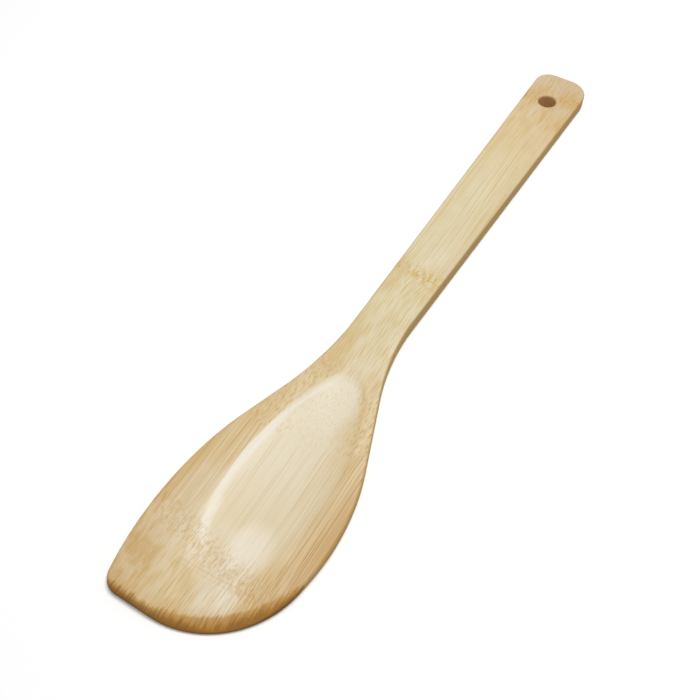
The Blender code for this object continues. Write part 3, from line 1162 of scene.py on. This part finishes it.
def sides_and_bevel(field, wood):
    """Wood with deeper tones on its sawn sides, on the front bevel and in the bore, and painted shade low
    on the sides and along the front rim.
    """
    side = field.upright.step(*SIDES)
    grain = field.waves("bevel grain", field.spot)
    depth = field.bevel_depth(grain)
    tones = {name: depth.step(*edges) for name, edges in BEVEL.items()}
    right = field.across("bevel right")
    # Painted shade along the front rim and round its right sweep
    rim = field.inset().step(blend(right, *DARK_RIM), DARK_RIM_FULL) * STRENGTH["dark rim"]
    rim = most(rim, tones["umber"] * STRENGTH["umber"]) * field.along("dark rim")
    dark = grain.step(*DARK_GRAIN) * blend(right, STRENGTH["dark grain"], STRENGTH["right dark grain"])
    pores = field.marks("pores", field.spot) * tones["pores"] * field.across("pores")
    return field.lay(
        wood,
        # Painted shade: the sawn sides darken towards the bottom
        ("side", side * (field.z * STRENGTH["side shade by height"] + STRENGTH["side"])),
        ("amber", tones["amber"] * STRENGTH["bevel amber"]),
        ("golden", tones["golden"]),
        ("caramel", tones["caramel"]),
        ("umber", rim * tones["bevel"]),
        ("umber", dark * tones["bevel"]),
        ("umber", pores * STRENGTH["pores"]),
        ("bore_brown", field.bore() * side),
    )


def bamboo(finish, blank, tools):
    """Solid bamboo, with its fibres along Y."""
    material = bpy.data.materials.new("bamboo")
    material.use_nodes = True
    tree = material.node_tree
    field = BambooField(tree, finish, blank, tools)
    lines = fibre_lines(field)
    fibre = fibre_colour(field)
    wood = field.mix(lines * line_strength(field), ground_tissue(field), fibre)
    wood = sides_and_bevel(field, culm_nodes(field, wood, fibre))
    relief = {"Strength": LINE_RELIEF, "Distance": LINE_DEPTH, "Height": lines}
    bump = add_node(tree, "ShaderNodeBump", relief, invert=True)
    shader = tree.nodes["Principled BSDF"]
    feed(tree, wood, shader.inputs["Base Color"])
    feed(tree, lines * STRENGTH["rough lines"] + finish.roughness, shader.inputs["Roughness"])
    feed(tree, bump.outputs["Normal"], shader.inputs["Normal"])
    return material


class TURNER_OT_bamboo(Operator):
    """Give the turner its bamboo"""

    bl_idname = "turner.bamboo"
    bl_label = "Finish in bamboo"

    def execute(self, context):
        piece = context.scene.objects["turner_body"]
        piece.data.materials.clear()
        scene = context.scene
        piece.data.materials.append(bamboo(scene.turner_finish, scene.turner_blank, scene.turner_tools))
        return {"FINISHED"}


WHITE = (1.0, 1.0, 1.0, 1.0)

# Strength of the plain studio light from all round
WORLD_STRENGTH = 0.3

# Floor in metres: its size and how far it lies under the turner
FLOOR_SIZE = 6.0
FLOOR_DROP = 0.05 * MM

# Floor as light meets it, and its lift where the camera sees it
FLOOR_GREY = (0.4, 0.4, 0.4, 1.0)
FLOOR_ROUGHNESS = 0.9
FLOOR_LIFT = 0.1

# Key light: place, target and size in metres, and power in watts
KEY_PLACE = (0.14, 0.25, 1.16)
KEY_TARGET = (0.0, -0.05, 0.0)
KEY_SIZE = 0.6
KEY_POWER = 10.6

# Camera: place in metres, pitch and turn, lens and sensor in its own millimetres
CAMERA_PLACE = (0.0876, -0.1816, 0.2509)
CAMERA_PITCH = math.radians(35.0)
CAMERA_TURN = math.radians(32.17)
LENS = 42.17
SENSOR = 36.0
NEAREST_SEEN = 10 * MM


def white_to_camera(tree, plain, output):
    """Show white to the camera and to reflections, and the plain shader to everything else."""
    rays = add_node(tree, "ShaderNodeLightPath").outputs
    names = ("Is Camera Ray", "Is Glossy Ray", "Is Transmission Ray")
    seen = most(*(Number(tree, rays[name]) for name in names))
    white = add_node(tree, "ShaderNodeBackground", {"Color": WHITE})
    both = add_node(tree, "ShaderNodeMixShader", {0: seen, 1: plain, 2: white.outputs[0]})
    tree.links.new(both.outputs[0], output)


def softbox(name, place, target, size, power):
    """Square soft light aimed at a target."""
    light = bpy.data.lights.new(name, "AREA")
    light.shape = "SQUARE"
    light.size = size
    light.energy = power
    box = bpy.data.objects.new(name, light)
    box.location = place
    box.rotation_euler = (Vector(target) - Vector(place)).to_track_quat("-Z", "Y").to_euler()
    bpy.context.scene.collection.objects.link(box)


def floor_material():
    """Pale floor: grey as light meets it, white with its shadow where the camera sees it."""
    material = bpy.data.materials.new("pale_floor")
    material.use_nodes = True
    tree = material.node_tree
    shader = tree.nodes["Principled BSDF"]
    shader.inputs["Base Color"].default_value = FLOOR_GREY
    shader.inputs["Roughness"].default_value = FLOOR_ROUGHNESS
    shader.inputs["Specular IOR Level"].default_value = 0.0
    pale = add_node(tree, "ShaderNodeBsdfDiffuse", {"Color": WHITE})
    lift = add_node(tree, "ShaderNodeEmission", {"Strength": FLOOR_LIFT})
    lifted = add_node(tree, "ShaderNodeAddShader", {0: pale.outputs[0], 1: lift.outputs[0]})
    seen = add_node(tree, "ShaderNodeLightPath").outputs["Is Camera Ray"]
    both = add_node(tree, "ShaderNodeMixShader", {0: seen, 1: shader.outputs[0], 2: lifted.outputs[0]})
    tree.links.new(both.outputs[0], tree.nodes["Material Output"].inputs["Surface"])
    return material


class TURNER_OT_stage(Operator):
    """Set the pale floor, the soft light, the white background and the camera"""

    bl_idname = "turner.stage"
    bl_label = "Set the stage"

    def execute(self, context):
        scene = context.scene
        spot = {"size": FLOOR_SIZE, "location": (0.0, 0.0, -FLOOR_DROP)}
        floor = new_primitive("floor", bpy.ops.mesh.primitive_plane_add, **spot)
        floor.data.materials.append(floor_material())
        softbox("key", KEY_PLACE, KEY_TARGET, KEY_SIZE, KEY_POWER)
        world = bpy.data.worlds.new("studio")
        world.use_nodes = True
        scene.world = world
        tree = world.node_tree
        plain = tree.nodes["Background"]
        plain.inputs["Color"].default_value = WHITE
        plain.inputs["Strength"].default_value = WORLD_STRENGTH
        white_to_camera(tree, plain.outputs[0], tree.nodes["World Output"].inputs["Surface"])
        view = bpy.data.cameras.new("camera")
        view.sensor_width = SENSOR
        view.lens = LENS
        view.clip_start = NEAREST_SEEN
        camera = bpy.data.objects.new("camera", view)
        camera.location = CAMERA_PLACE
        camera.rotation_euler = (CAMERA_PITCH, 0.0, CAMERA_TURN)
        scene.collection.objects.link(camera)
        scene.camera = camera
        scene.view_settings.view_transform = "Standard"
        return {"FINISHED"}


STEPS = (
    TURNER_OT_blank,
    TURNER_OT_dish,
    TURNER_OT_front_bevel,
    TURNER_OT_hole,
    TURNER_OT_sand,
    TURNER_OT_bamboo,
    TURNER_OT_stage,
)


class TURNER_PT_panel(Panel):
    """The steps and sizes of the turner"""

    bl_label = "Bamboo Turner"
    bl_idname = "TURNER_PT_panel"
    bl_space_type = "VIEW_3D"
    bl_region_type = "UI"
    bl_category = "Turner"

    def draw(self, context):
        for step in STEPS:
            self.layout.operator(step.bl_idname)
        for group in (context.scene.turner_blank, context.scene.turner_tools, context.scene.turner_finish):
            box = self.layout.box()
            for name in group.__annotations__:
                box.prop(group, name)


GROUPS = {"turner_blank": TurnerBlank, "turner_tools": TurnerTools, "turner_finish": BambooFinish}


def register():
    for entry in (*GROUPS.values(), *STEPS, TURNER_PT_panel):
        bpy.utils.register_class(entry)
    for name, group in GROUPS.items():
        setattr(bpy.types.Scene, name, PointerProperty(type=group))


def unregister():
    for name in GROUPS:
        delattr(bpy.types.Scene, name)
    for entry in reversed((*GROUPS.values(), *STEPS, TURNER_PT_panel)):
        bpy.utils.unregister_class(entry)


def main():
    register()
    bpy.ops.turner.blank()
    bpy.ops.turner.dish()
    bpy.ops.turner.front_bevel()
    bpy.ops.turner.hole()
    bpy.ops.turner.sand()
    bpy.ops.turner.bamboo()
    bpy.ops.turner.stage()


if __name__ == "__main__":
    main()
